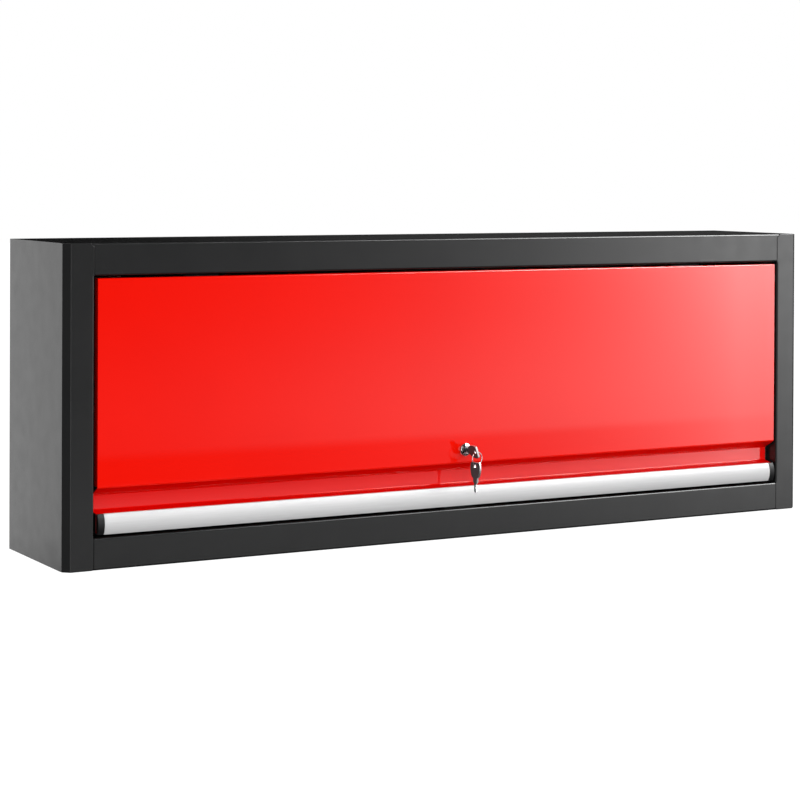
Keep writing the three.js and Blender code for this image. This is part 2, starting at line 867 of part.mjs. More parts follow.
// The keeper stands on the return of the bottom rail, in front of the cam's path.
function lockKeeper() {
  const half = keeperWidth / 2;
  const y0 = front + keeperDepth;
  const seat = bottomRailHeight + fit;
  const foot = y0 + keeperWall - keeperFoot;
  return alongX(folded([
    [y0, keeperTop],
    [y0, seat + keeperWall],
    [foot, seat + keeperWall],
  ], 1, keeperWall), -half, half);
}

// Keys and ring

// A key lying along Y in its own frame: the shoulder at the origin, the blade to +Y, the bow to -Y. Its
// bow is widest near its end and draws in to a tapered neck.
function key() {
  const bow = bowOutline();
  const hole = new THREE.Path();
  hole.absarc(-neckLength - bowLength + bowHoleInset, 0, bowHole / 2, 0, Math.PI * 2, false);
  bow.holes.push(hole);
  const head = alongX(bow, -bowWall / 2, bowWall / 2);
  const blade = alongX(bladeOutline(), -bladeWall / 2, bladeWall / 2);
  return join(head, blade);
}

// Half of the bow's width along its length, from its end, as shares of the bow's length and width.
const bowShares = [
  [0, 0.36], [0.015, 0.41], [0.06, 0.45], [0.15, 0.48], [0.28, 0.5], [0.45, 0.5], [0.62, 0.475],
  [0.76, 0.435], [0.87, 0.39], [0.94, 0.35], [1, 0.24],
];

function bowOutline() {
  const end = -neckLength - bowLength;
  const upper = bowShares.map(([alongShare, halfShare]) => [
    end + alongShare * bowLength,
    halfShare * bowWidth,
  ]);
  upper.push([-neckLength, neckWidth / 2]);
  upper.push([0, neckTip / 2]);
  const lower = upper.map(([y, z]) => [y, -z]).reverse();
  return outline([...upper, ...lower]);
}

// The cuts along the blade's lower edge, as shares of its length and width.
const bladeCutShares = [
  [0.1, 0.5], [0.18, 0.22], [0.26, 0.22], [0.34, 0.44], [0.42, 0.14], [0.5, 0.14], [0.58, 0.4],
  [0.65, 0.3], [0.72, 0.3], [0.8, 0.44], [0.88, 0.2],
];

function bladeOutline() {
  const half = bladeWidth / 2;
  const points = [[-neckLength, half], [-neckLength, -half]];
  for (const [alongShare, depthShare] of bladeCutShares) {
    points.push([alongShare * bladeLength, -bladeWidth * depthShare]);
  }
  points.push([bladeLength, -half / 4]);
  points.push([bladeLength, half / 4]);
  points.push([bladeLength - half, half]);
  return outline(points);
}

// The ring hangs in the key's hole by a point of its wire beside its top.
function keyRing() {
  const ring = new THREE.TorusGeometry((ringSize - ringWire) / 2, ringWire / 2, ringSides, ringSteps);
  ring.rotateX(Math.PI / 2);
  return ring;
}

// Rubber

function doorBuffer(hand) {
  const x = hand * (openingHalf - stopLip / 2 - fit);
  const seat = front + jambDepth - fit;
  const crown = front + recessDepth + sheet + fit;
  return rodAlongY(bufferSize, crown, seat, x, bufferRise, smallSteps);
}

// The assembly

const cabinet = new THREE.Group();
cabinet.position.z = -height / 2;

function add(parent, name, geometry, finish) {
  const mesh = new THREE.Mesh(geometry, new THREE.MeshStandardMaterial(finish));
  mesh.name = name;
  parent.add(mesh);
  return mesh;
}

const sides = [['left', -1], ['right', 1]];

function addCarcass() {
  add(cabinet, 'back_panel', backPanel(), steelDark);
  add(cabinet, 'top_panel', railPanel(topRailHeight, topFlare), steelDark);
  const bottom = add(cabinet, 'bottom_panel', railPanel(bottomRailHeight, bottomFlare), steelDark);
  bottom.rotation.y = Math.PI;
  bottom.position.z = height;
  for (const [name, hand] of sides) {
    add(cabinet, `${name}_side_sheet`, sideSheet(hand), steelSide);
    add(cabinet, `hanging_plate_${name}`, hangingPlate(hand), zinc);
    add(cabinet, `door_buffer_${name}`, doorBuffer(hand), rubber);
  }
}

function addDoor() {
  add(cabinet, 'door_skin', doorSkin(), doorRed);
  add(cabinet, 'door_stiffener', doorStiffener(), doorRed);
  add(cabinet, 'handle_strip', handleStrip(), aluminium);
  for (const [name, hand] of sides) {
    add(cabinet, `handle_cap_${name}`, handleCap(hand), blackPlastic);
  }
}

function addHinges() {
  for (const [name, hand] of sides) {
    const place = new THREE.Group();
    place.position.x = hand * hingeX;
    add(place, `hinge_bracket_${name}`, hingeBracket(), blackSteel);
    add(place, `hinge_leaf_${name}`, hingeLeaf(), zinc);
    add(place, `hinge_pin_${name}`, hingePin(), zinc);
    cabinet.add(place);
  }
}

// A group at one pivot of a strut, whose Y axis points at the other pivot.
function strutEnd(hand, from, to) {
  const place = new THREE.Group();
  place.position.set(hand * strutX, from.y, from.z);
  place.rotation.x = Math.atan2(to.z - from.z, to.y - from.y);
  cabinet.add(place);
  return place;
}

function handed(geometry, hand) {
  return hand > 0 ? geometry : mirroredPiece(indexed(geometry));
}

function indexed(geometry) {
  return geometry.index ? geometry : mergeVertices(geometry);
}

function addStruts() {
  for (const [name, hand] of sides) {
    add(cabinet, `strut_bracket_${name}`, handed(strutBracket(), hand), zinc);
    add(cabinet, `door_bracket_${name}`, handed(doorBracket(), hand), zinc);
    const fixed = strutEnd(hand, bodyPivot, doorPivot);
    add(fixed, `strut_stud_${name}`, handed(ballStud(), hand), zinc);
    add(fixed, `strut_cylinder_socket_${name}`, handed(ballSocket(), hand), blackPlastic);
    add(fixed, `strut_cylinder_${name}`, strutCylinder(), blackSteel);
    const moving = strutEnd(hand, doorPivot, bodyPivot);
    add(moving, `door_stud_${name}`, handed(ballStud(), hand), zinc);
    add(moving, `strut_rod_socket_${name}`, handed(ballSocket(), hand), blackPlastic);
    add(moving, `strut_rod_${name}`, strutRod(), chrome);
  }
}

function addLock() {
  add(cabinet, 'lock_body', lockBody(), chrome);
  add(cabinet, 'lock_nut', lockNut(), zinc);
  const turning = plugGroup();
  add(turning, 'lock_plug', lockPlug(), chrome);
  add(turning, 'lock_cam', lockCam(), zinc);
  add(turning, 'lock_cam_screw', lockCamScrew(), zinc);
  add(cabinet, 'lock_keeper', lockKeeper(), steelDark);
}

// What turns with the key, on the lock's axis.
function plugGroup() {
  const place = new THREE.Group();
  place.position.z = lockRise;
  place.rotation.y = -THREE.MathUtils.degToRad(keyTwist);
  cabinet.add(place);
  return place;
}

function addKeys() {
  const shoulder = plugFace() - fit * 2;
  const lockedKey = add(plugGroup(), 'key_in_lock', key(), keySteel);
  lockedKey.position.y = shoulder;
  const holeInset = neckLength + bowLength - bowHoleInset;
  const ringPlace = new THREE.Group();
  ringPlace.position.set(0, shoulder - holeInset, lockRise - bowHole / 2 + ringRest + ringWire / 2);
  ringPlace.rotation.z = THREE.MathUtils.degToRad(ringTurn);
  cabinet.add(ringPlace);
  const ring = add(ringPlace, 'key_ring', keyRing(), zinc);
  const ringRadius = (ringSize - ringWire) / 2;
  const ringDrop = Math.sqrt(ringRadius * ringRadius - ringOffset * ringOffset);
  ring.position.set(ringOffset, 0, -ringDrop);
  const spare = add(ringPlace, 'spare_key', key(), keySteel);
  const wireToHole = bowHole / 2 - ringRest - ringWire / 2;
  spare.rotation.x = -Math.PI / 2;
  spare.position.z = -ringDrop * 2 - wireToHole - holeInset;
}

addCarcass();
addDoor();
addHinges();
addStruts();
addLock();
addKeys();

export default cabinet;
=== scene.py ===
import functools
import json
import math

import bmesh
import bpy
from mathutils import Matrix, Vector


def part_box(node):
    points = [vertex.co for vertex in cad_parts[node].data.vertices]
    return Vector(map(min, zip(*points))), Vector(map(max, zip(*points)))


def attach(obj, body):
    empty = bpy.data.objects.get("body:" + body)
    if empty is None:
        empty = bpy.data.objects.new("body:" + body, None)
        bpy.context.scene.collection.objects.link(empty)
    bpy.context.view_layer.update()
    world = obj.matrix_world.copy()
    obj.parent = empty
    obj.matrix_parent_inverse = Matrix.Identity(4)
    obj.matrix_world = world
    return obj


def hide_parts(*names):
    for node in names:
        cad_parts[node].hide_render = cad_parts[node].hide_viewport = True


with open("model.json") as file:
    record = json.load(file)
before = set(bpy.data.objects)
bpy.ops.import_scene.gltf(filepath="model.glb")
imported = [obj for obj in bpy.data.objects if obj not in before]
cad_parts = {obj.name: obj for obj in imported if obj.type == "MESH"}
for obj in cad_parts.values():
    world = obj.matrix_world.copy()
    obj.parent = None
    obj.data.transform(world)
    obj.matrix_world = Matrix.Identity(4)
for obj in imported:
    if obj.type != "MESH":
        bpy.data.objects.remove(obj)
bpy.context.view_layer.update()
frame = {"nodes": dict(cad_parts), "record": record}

MM = 0.001
NODES = frame["nodes"]
RECORD = frame["record"]
SLOT_OF = {part["node"]: part["material_slot"] for part in RECORD["subparts"]}
BODY_OF = {node: body for body, nodes in RECORD["behaviour"]["bodies"].items() for node in nodes}
HANDS = (("left", -1), ("right", 1))


def box_mm(node):
    """The lowest and highest corners of a solid, in millimetres."""
    low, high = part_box(node)
    return Vector(low) / MM, Vector(high) / MM


# Camera

CAMERA_PLACE = (-1.88098, -3.40440, 0.36196)
CAMERA_YAW = math.radians(29.0933)
CAMERA_DIP = math.radians(0.4863)
CAMERA_ROLL = math.radians(0.2447)
CAMERA_LENS = 99.103
CAMERA_SHIFT_DOWN = 0.26312


def add_camera():
    """The photograph's camera, fitted to the edges of the cabinet."""
    ahead = Vector((
        math.sin(CAMERA_YAW) * math.cos(CAMERA_DIP),
        math.cos(CAMERA_YAW) * math.cos(CAMERA_DIP),
        -math.sin(CAMERA_DIP),
    ))
    level = Vector((math.cos(CAMERA_YAW), -math.sin(CAMERA_YAW), 0))
    upright = level.cross(ahead)
    right = math.cos(CAMERA_ROLL) * level + math.sin(CAMERA_ROLL) * upright
    up = math.cos(CAMERA_ROLL) * upright - math.sin(CAMERA_ROLL) * level
    lens = bpy.data.cameras.new("photo_camera")
    lens.lens = CAMERA_LENS
    lens.sensor_width = 36
    lens.shift_y = -CAMERA_SHIFT_DOWN
    lens.clip_start = 0.05
    camera = bpy.data.objects.new("photo_camera", lens)
    turn = Matrix((right, up, -ahead)).transposed().to_4x4()
    camera.matrix_world = Matrix.Translation(CAMERA_PLACE) @ turn
    bpy.context.collection.objects.link(camera)
    bpy.context.scene.camera = camera


# Materials

class Finish:
    """A procedural finish: one Principled shader and the nodes that feed it."""

    def __init__(self, name, metal=0.0, **values):
        self.material = bpy.data.materials.new(name)
        self.material.use_nodes = True
        self.tree = self.material.node_tree
        self.shader = self.tree.nodes["Principled BSDF"]
        self.shader.inputs["Metallic"].default_value = metal
        for socket, value in values.items():
            self.shader.inputs[socket.replace("_", " ")].default_value = value
        self.place = self.add("ShaderNodeTexCoord").outputs["Object"]

    def add(self, kind, **settings):
        node = self.tree.nodes.new(kind)
        for key, value in settings.items():
            setattr(node, key, value)
        return node

    def feed(self, node, socket, value):
        if isinstance(value, bpy.types.NodeSocket):
            self.tree.links.new(value, node.inputs[socket])
        else:
            node.inputs[socket].default_value = value

    def stretched(self, scale, turn=(0, 0, 0)):
        node = self.add("ShaderNodeMapping")
        self.feed(node, "Vector", self.place)
        self.feed(node, "Scale", scale)
        self.feed(node, "Rotation", turn)
        return node.outputs["Vector"]

    def noise(self, grains_per_metre, detail=2.0, roughness=0.5, place=None):
        node = self.add("ShaderNodeTexNoise")
        self.feed(node, "Vector", place or self.place)
        self.feed(node, "Scale", grains_per_metre)
        self.feed(node, "Detail", detail)
        self.feed(node, "Roughness", roughness)
        return node.outputs["Fac"]

    def cells(self, grains_per_metre):
        """A value from 0 to 1 for each cell of a Voronoi pattern."""
        node = self.add("ShaderNodeTexVoronoi", feature="F1")
        self.feed(node, "Vector", self.place)
        self.feed(node, "Scale", grains_per_metre)
        tone = self.add("ShaderNodeSeparateColor")
        self.tree.links.new(node.outputs["Color"], tone.inputs[0])
        return tone.outputs[0]

    def span(self, value, low, high, from_low=0.3, from_high=0.7):
        node = self.add("ShaderNodeMapRange")
        self.feed(node, "Value", value)
        self.feed(node, "From Min", from_low)
        self.feed(node, "From Max", from_high)
        self.feed(node, "To Min", low)
        self.feed(node, "To Max", high)
        return node.outputs["Result"]

    def blend(self, factor, first, second):
        node = self.add("ShaderNodeMix", data_type="RGBA")
        self.tree.links.new(factor, node.inputs[0])
        for index, value in ((6, first), (7, second)):
            if isinstance(value, bpy.types.NodeSocket):
                self.tree.links.new(value, node.inputs[index])
            else:
                node.inputs[index].default_value = (*value, 1)
        return node.outputs[2]

    def colour(self, value):
        self.tree.links.new(value, self.shader.inputs["Base Color"])
        return self

    def roughness(self, value):
        self.tree.links.new(value, self.shader.inputs["Roughness"])
        return self

    def relief(self, *layers):
        """Bump layers, each a height from 0 to 1 with its depth in metres and its strength."""
        normal = None
        for height, depth, strength in layers:
            node = self.add("ShaderNodeBump")
            self.feed(node, "Height", height)
            self.feed(node, "Distance", depth)
            self.feed(node, "Strength", strength)
            if normal is not None:
                self.tree.links.new(normal, node.inputs["Normal"])
            normal = node.outputs["Normal"]
        self.tree.links.new(normal, self.shader.inputs["Normal"])
        return self


def satin_frame_paint():
    """Dark grey satin enamel: fine orange peel, faint cloudiness."""
    paint = Finish("satin_frame_paint", IOR=1.42)
    clouds = paint.noise(7, detail=3)
    peel = paint.noise(420, detail=2)
    paint.colour(paint.blend(paint.span(clouds, 0, 1), (0.0125, 0.0127, 0.0130), (0.0145, 0.0147, 0.0150)))
    paint.roughness(paint.span(paint.noise(38, detail=3), 0.20, 0.24))
    return paint.relief((peel, 0.00006, 0.06)).material


# Painted shade: where along Y, just behind the door's flat face, the door's red turns to its darker shaded
# red.
RECESS_SHADE_FROM = -0.249
RECESS_SHADE_TO = -0.246


def gloss_door_paint():
    """High gloss red enamel under a clear coat, with the long faint ripple of sprayed paint. Behind the
    door's flat face, in the recess and inside, a darker red is painted in as shade."""
    paint = Finish(
        "gloss_door_paint", IOR=1.5, Specular_IOR_Level=0.0,
        Coat_Weight=1.0, Coat_Roughness=0.008, Coat_IOR=1.5)
    clouds = paint.noise(5, detail=2)
    ripple = paint.noise(40, detail=2)
    open_face_red = paint.blend(paint.span(clouds, 0, 1), (0.77, 0.0042, 0.0003), (0.80, 0.0050, 0.0005))
    # Painted shade: a darker red for the recess and the door's inside, standing in for the shade that falls
    # there.
    shaded_recess_red = paint.blend(paint.span(clouds, 0, 1), (0.63, 0.0012, 0.0002), (0.66, 0.0015, 0.0003))
    parts = paint.add("ShaderNodeSeparateXYZ")
    paint.feed(parts, "Vector", paint.place)
    depth = paint.span(parts.outputs["Y"], 0, 1, RECESS_SHADE_FROM, RECESS_SHADE_TO)
    paint.colour(paint.blend(depth, open_face_red, shaded_recess_red))
    paint.roughness(paint.span(paint.noise(24, detail=3), 0.25, 0.32))
    paint.relief((ripple, 0.00004, 0.015))
    return paint.material


def satin_aluminium():
    """Satin anodised extrusion, with the draw lines that run along it."""
    metal = Finish("satin_aluminium", metal=0.06)
    lines = metal.noise(1, detail=4, roughness=0.6, place=metal.stretched((6, 900, 900)))
    metal.colour(metal.blend(metal.span(lines, 0, 1), (0.50, 0.50, 0.504), (0.55, 0.55, 0.554)))
    metal.roughness(metal.span(lines, 0.52, 0.60))
    return metal.relief((lines, 0.00003, 0.2)).material


def polished_chrome():
    """Chrome plate with the faint smudges of handling."""
    metal = Finish("polished_chrome", metal=1.0)
    smudge = metal.noise(160, detail=3)
    metal.colour(metal.blend(metal.span(smudge, 0, 1), (0.74, 0.74, 0.755), (0.80, 0.80, 0.81)))
    metal.roughness(metal.span(smudge, 0.05, 0.11))
    return metal.relief((metal.noise(900), 0.00001, 0.10)).material


def bright_zinc():
    """Bright zinc plate: small cloudy spangles that shift between cool and warm grey."""
    metal = Finish("bright_zinc", metal=1.0)
    spangle = metal.cells(260)
    clouds = metal.noise(45, detail=4)
    metal.colour(metal.blend(metal.span(clouds, 0, 1), (0.50, 0.52, 0.55), (0.62, 0.615, 0.58)))
    metal.roughness(metal.span(spangle, 0.28, 0.42, 0, 1))
    return metal.relief((metal.noise(700, detail=3), 0.00003, 0.2)).material


def dark_key_nickel():
    """Black nickel on a stamped key: tumbled face with fine short scratches."""
    metal = Finish("dark_key_nickel", metal=0.1, Specular_IOR_Level=0.35)
    scratches = metal.noise(1, detail=5, roughness=0.65, place=metal.stretched((700, 2600, 420), (0.5, 0, 0)))
    grain = metal.noise(900, detail=3)
    metal.colour(metal.blend(metal.span(scratches, 0, 1), (0.022, 0.034, 0.038), (0.068, 0.088, 0.092)))
    metal.roughness(metal.span(grain, 0.38, 0.5))
    return metal.relief((scratches, 0.00002, 0.35)).material


def cut_key_edge():
    """The sheared edge of a key, worn bright."""
    metal = Finish("cut_key_edge", metal=1.0)
    lines = metal.noise(1, detail=3, place=metal.stretched((3200, 500, 500)))
    metal.colour(metal.blend(metal.span(lines, 0, 1), (0.80, 0.80, 0.81), (0.94, 0.94, 0.94)))
    metal.roughness(metal.span(lines, 0.30, 0.42))
    return metal.relief((lines, 0.00002, 0.3)).material


def bright_ring_nickel():
    """Nickel-plated wire, lightly worn."""
    metal = Finish("bright_ring_nickel", metal=1.0)
    wear = metal.noise(600, detail=3)
    metal.colour(metal.blend(metal.span(wear, 0, 1), (0.66, 0.66, 0.67), (0.80, 0.80, 0.81)))
    metal.roughness(metal.span(wear, 0.10, 0.2))
    return metal.relief((wear, 0.00001, 0.2)).material


def matt_black_plastic():
    """Moulded plastic with a fine spark-eroded grain."""
    plastic = Finish("matt_black_plastic", IOR=1.48, Specular_IOR_Level=0.3)
    grain = plastic.noise(1500, detail=3)
    clouds = plastic.noise(60)
    plastic.colour(plastic.blend(plastic.span(clouds, 0, 1), (0.006, 0.006, 0.0065), (0.011, 0.011, 0.0115)))
    plastic.roughness(plastic.span(grain, 0.42, 0.58))
    return plastic.relief((grain, 0.00005, 0.3)).material


def black_enamel_and_gap_shade():
    """Smooth black enamel on the struts and the hinges' brackets; on the brackets the black is also painted
    shade for the gap over the door.
    """
    paint = Finish("black_enamel_and_gap_shade", IOR=1.5)
    peel = paint.noise(500, detail=2)
    paint.colour(paint.blend(paint.span(paint.noise(30), 0, 1), (0.008, 0.008, 0.009), (0.014, 0.014, 0.015)))
    paint.roughness(paint.span(peel, 0.16, 0.26))
    return paint.relief((peel, 0.00004, 0.2)).material


def buffer_rubber():
    """Dull black rubber."""
    rubber = Finish("buffer_rubber", IOR=1.45)
    grain = rubber.noise(1200, detail=4)
    rubber.colour(rubber.blend(rubber.span(grain, 0, 1), (0.009, 0.009, 0.009), (0.018, 0.018, 0.018)))
    rubber.roughness(rubber.span(grain, 0.75, 0.92))
    return rubber.relief((grain, 0.00008, 0.4)).material


MATERIALS = {
    "frame_paint": satin_frame_paint(),
    "door_paint": gloss_door_paint(),
    "aluminium": satin_aluminium(),
    "chrome": polished_chrome(),
    "zinc_steel": bright_zinc(),
    "key_steel": dark_key_nickel(),
    "ring_steel": bright_ring_nickel(),
    "black_plastic": matt_black_plastic(),
    "black_enamel": black_enamel_and_gap_shade(),
    "rubber": buffer_rubber(),
}
KEY_EDGE = cut_key_edge()


# Pieces

def new_piece(name, mesh, body, slot, replaced=None):
    """Puts a finished mesh in the scene, on its body, in its finish."""
    piece = bpy.data.objects.new(name, mesh)
    bpy.context.collection.objects.link(piece)
    if not mesh.materials:
        mesh.materials.append(MATERIALS[slot])
    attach(piece, body)
    if replaced:
        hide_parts(replaced)
    return piece


WELD_REACH = 0.002 * MM
FLAT_ANGLE = math.radians(0.4)
CREASE = math.radians(31)


def merged_copy(node):
    """One welded mesh from a solid's loose triangles, with its flat faces whole."""
    work = bmesh.new()
    work.from_mesh(NODES[node].data)
    bmesh.ops.remove_doubles(work, verts=work.verts, dist=WELD_REACH)
    bmesh.ops.dissolve_degenerate(work, edges=work.edges, dist=WELD_REACH / 2)
    bmesh.ops.dissolve_limit(
        work, verts=work.verts, edges=work.edges, angle_limit=FLAT_ANGLE, delimit={"NORMAL"})
    return work


def smooth_faces(work):
    """Smooth shading that breaks at the creases."""
    for face in work.faces:
        face.smooth = True
    for edge in work.edges:
        edge.smooth = edge.is_manifold and edge.calc_face_angle(0) < CREASE


def mesh_from(work, name):
    mesh = bpy.data.meshes.new(name)
    work.to_mesh(mesh)
    work.free()
    return mesh


def round_edges(piece, width):
    """Breaks the sharp edges by a small round, and keeps the flat faces flat in the light."""
    bevel = piece.modifiers.new("broken_edges", "BEVEL")
    bevel.width = width * MM
    bevel.segments = 2
    bevel.limit_method = "ANGLE"
    bevel.angle_limit = CREASE
    bevel.use_clamp_overlap = True
    flat = piece.modifiers.new("flat_faces", "WEIGHTED_NORMAL")
    flat.keep_sharp = True
    flat.weight = 100


EDGE_ROUND = {
    "frame_paint": 0.35,
    "door_paint": 0.35,
    "aluminium": 0.3,
    "chrome": 0.2,
    "zinc_steel": 0.25,
    "key_steel": 0.2,
    "black_plastic": 0.4,
    "black_enamel": 0.2,
    "rubber": 0.4,
}
ROUNDED_SHEETS = ("left_side_sheet", "right_side_sheet")
SHEET_EDGE_ROUND = 1.1
RAIL_EDGE = 201
CORNER_DEPTH = 12


def soften_cut_edges(work):
    """Rounds a side sheet's show face into its cut ends, at the seams and at the top and bottom."""
    front = min(vert.co.y for vert in work.verts)
    limit = max(abs(vert.co.z) for vert in work.verts) - WELD_REACH
    chosen = []
    for edge in work.edges:
        beside_rail = max(abs(vert.co.z) for vert in edge.verts) > RAIL_EDGE * MM
        if len(edge.link_faces) != 2 or not beside_rail:
            continue
        depth = max(vert.co.y for vert in edge.verts) - front
        faces = [face.normal for face in edge.link_faces]
        for show, end in (faces, faces[::-1]):
            on_front = show.y < -0.98 and depth < 0.01 * MM
            on_corner = abs(show.z) < 0.1 and depth < CORNER_DEPTH * MM and show.dot(edge.verts[0].co) > 0
            if (on_front and abs(end.y) < 0.1) or (on_corner and abs(end.z) > 0.98):
                chosen.append(edge)
                break
    bmesh.ops.bevel(
        work, geom=chosen, offset=SHEET_EDGE_ROUND * MM, segments=3, profile=0.5, affect="EDGES",
        clamp_overlap=False)
    for vert in work.verts:
        vert.co.z = max(-limit, min(limit, vert.co.z))


def finish_node(node):
    """A welded, edge-broken copy of a solid in its real finish, in the solid's place."""
    slot = SLOT_OF[node]
    work = merged_copy(node)
    if node in ROUNDED_SHEETS:
        soften_cut_edges(work)
    smooth_faces(work)
    piece = new_piece(node + "_finished", mesh_from(work, node), BODY_OF[node], slot, node)
    round_edges(piece, EDGE_ROUND[slot])
    return piece


# Geometry Nodes

class Tree:
    """A Geometry Nodes tree with named inputs, ending in Realize Instances and Set Material."""

    def __init__(self, name):
        self.tree = bpy.data.node_groups.new(name, "GeometryNodeTree")
        self.tree.is_modifier = True
        self.tree.interface.new_socket("Geometry", in_out="INPUT", socket_type="NodeSocketGeometry")
        self.tree.interface.new_socket("Geometry", in_out="OUTPUT", socket_type="NodeSocketGeometry")
        self.inputs = self.tree.nodes.new("NodeGroupInput")
        self.outputs = self.tree.nodes.new("NodeGroupOutput")
        self.names = {}

    def input(self, name, kind):
        socket = self.tree.interface.new_socket(name, in_out="INPUT", socket_type=kind)
        self.names[name] = socket.identifier
        return self.inputs.outputs[name]

    def add(self, kind, inputs=None, **settings):
        node = self.tree.nodes.new(kind)
        for key, value in settings.items():
            setattr(node, key, value)
        for key, value in (inputs or {}).items():
            if isinstance(value, bpy.types.NodeSocket):
                self.tree.links.new(value, node.inputs[key])
            else:
                node.inputs[key].default_value = value
        return node

    def math(self, operation, first, second):
        return self.add("ShaderNodeMath", {0: first, 1: second}, operation=operation).outputs[0]

    def vector(self, x=0.0, y=0.0, z=0.0):
        return self.add("ShaderNodeCombineXYZ", {"X": x, "Y": y, "Z": z}).outputs[0]

    def end(self, geometry):
        """Real geometry, in the chosen material."""
        material = self.input("Material", "NodeSocketMaterial")
        real = self.add("GeometryNodeRealizeInstances", {"Geometry": geometry}).outputs[0]
        done = self.add("GeometryNodeSetMaterial", {"Geometry": real, "Material": material}).outputs[0]
        self.tree.links.new(done, self.outputs.inputs[0])

    def make(self, name, carrier, values, body, slot, replaced=None):
        """Runs the tree on a carrier mesh and keeps the result as a plain mesh on one body."""
        holder = bpy.data.objects.new(name + "_carrier", carrier)
        bpy.context.collection.objects.link(holder)
        modifier = holder.modifiers.new("shape", "NODES")
        modifier.node_group = self.tree
        for key, value in {**values, "Material": MATERIALS[slot]}.items():
            modifier[self.names[key]] = value
        bpy.context.view_layer.update()
        ready = holder.evaluated_get(bpy.context.evaluated_depsgraph_get())
        mesh = bpy.data.meshes.new_from_object(ready)
        mesh.name = name
        holder.modifiers.clear()
        bpy.data.objects.remove(holder)
        work = bmesh.new()
        work.from_mesh(mesh)
        bmesh.ops.remove_doubles(work, verts=work.verts, dist=WELD_REACH)
        bmesh.ops.recalc_face_normals(work, faces=work.faces)
        smooth_faces(work)
        work.to_mesh(mesh)
        work.free()
        return new_piece(name, mesh, body, slot, replaced)


def points_mesh(name, points):
    """A carrier of loose points, each with the way its fastener faces."""
    mesh = bpy.data.meshes.new(name)
    mesh.from_pydata([Vector(place) * MM for place, _ in points], [], [])
    facing = mesh.attributes.new("facing", "FLOAT_VECTOR", "POINT")
    for index, (_, way) in enumerate(points):
        facing.data[index].vector = way
    return mesh


RECESS_RISE_SHARE = 0.85
RECESS_REACH_SHARE = 1.15
RECESS_WIDTH_SHARE = 0.26


def fastener_tree(name, recess):
    """Domed heads on points: each is a squashed ball cut flat below, with or without a cross recess."""
    tree = Tree(name)
    radius = tree.input("Head radius", "NodeSocketFloat")
    rise = tree.input("Head height", "NodeSocketFloat")
    seed = tree.input("Seed", "NodeSocketInt")
    ball = tree.add(
        "GeometryNodeMeshUVSphere", {"Segments": 20, "Rings": 10, "Radius": 1.0}).outputs["Mesh"]
    dome = tree.add("GeometryNodeTransform", {
        "Geometry": ball,
        "Scale": tree.vector(radius, radius, rise),
    }).outputs[0]
    wide = tree.math("MULTIPLY", radius, 4.0)
    below = tree.add("GeometryNodeMeshCube", {"Size": tree.vector(wide, wide, wide)}).outputs["Mesh"]
    below = tree.add("GeometryNodeTransform", {
        "Geometry": below,
        "Translation": tree.vector(z=tree.math("MULTIPLY", wide, -0.5)),
    }).outputs[0]
    tools = [below]
    if recess:
        reach = tree.input("Recess reach", "NodeSocketFloat")
        slot = tree.input("Recess width", "NodeSocketFloat")
        for across, along in ((reach, slot), (slot, reach)):
            bar = tree.add("GeometryNodeMeshCube", {"Size": tree.vector(across, along, rise)}).outputs["Mesh"]
            tools.append(tree.add("GeometryNodeTransform", {
                "Geometry": bar,
                "Translation": tree.vector(z=tree.math("MULTIPLY", rise, RECESS_RISE_SHARE)),
            }).outputs[0])
    cut = tree.add("GeometryNodeMeshBoolean", {0: dome}, operation="DIFFERENCE", solver="EXACT")
    for tool in tools:
        tree.tree.links.new(tool, cut.inputs[1])
    facing = tree.add("GeometryNodeInputNamedAttribute", {"Name": "facing"}, data_type="FLOAT_VECTOR")
    stand = tree.add("FunctionNodeAlignRotationToVector", {"Vector": facing.outputs[0]}, axis="Z")
    spin = tree.add("FunctionNodeRandomValue", {"Seed": seed}, data_type="FLOAT")
    angle = tree.math("MULTIPLY", spin.outputs[1], 2 * math.pi)
    twist = tree.add("FunctionNodeAxisAngleToRotation", {"Axis": (0, 0, 1), "Angle": angle})
    turned = tree.add("FunctionNodeRotateRotation", {
        "Rotation": stand.outputs[0],
        "Rotate By": twist.outputs[0],
    }, rotation_space="LOCAL")
    placed = tree.add("GeometryNodeInstanceOnPoints", {
        "Points": tree.inputs.outputs["Geometry"],
        "Instance": cut.outputs["Mesh"],
        "Rotation": turned.outputs[0],
    })
    tree.end(placed.outputs[0])
    return tree


def sweep_tree(name):
    """A wire wound on a cylinder or a ring: a spiral path with a round-cornered section."""
    tree = Tree(name)
    radius = tree.input("Radius", "NodeSocketFloat")
    turns = tree.input("Turns", "NodeSocketFloat")
    rise = tree.input("Rise", "NodeSocketFloat")
    steps = tree.input("Steps a turn", "NodeSocketInt")
    wide = tree.input("Section width", "NodeSocketFloat")
    tall = tree.input("Section height", "NodeSocketFloat")
    corner = tree.input("Section corner", "NodeSocketFloat")
    spiral = tree.add("GeometryNodeCurveSpiral", {
        "Resolution": steps,
        "Rotations": turns,
        "Start Radius": radius,
        "End Radius": radius,
        "Height": rise,
    }).outputs[0]
    section = tree.add("GeometryNodeCurvePrimitiveQuadrilateral", {"Width": wide, "Height": tall}).outputs[0]
    fillet = tree.add(
        "GeometryNodeFilletCurve", {"Curve": section, "Radius": corner, "Count": 2}, mode="POLY")
    swept = tree.add("GeometryNodeCurveToMesh", {
        "Curve": spiral,
        "Profile Curve": fillet.outputs[0],
        "Fill Caps": True,
    }).outputs[0]
    tree.end(swept)
    return tree


def row(start, end, count):
    """Evenly spaced places on a line, half a step in from its ends."""
    start, end = Vector(start), Vector(end)
    return [start.lerp(end, (index + 0.5) / count) for index in range(count)]


SCREWS = fastener_tree("cross_head_screws", recess=True)
DOMES = fastener_tree("rivet_and_weld_domes", recess=False)
WINDING = sweep_tree("wound_wire")
UP, DOWN, FORWARD, BACK = (0, 0, 1), (0, 0, -1), (0, -1, 0), (0, 1, 0)


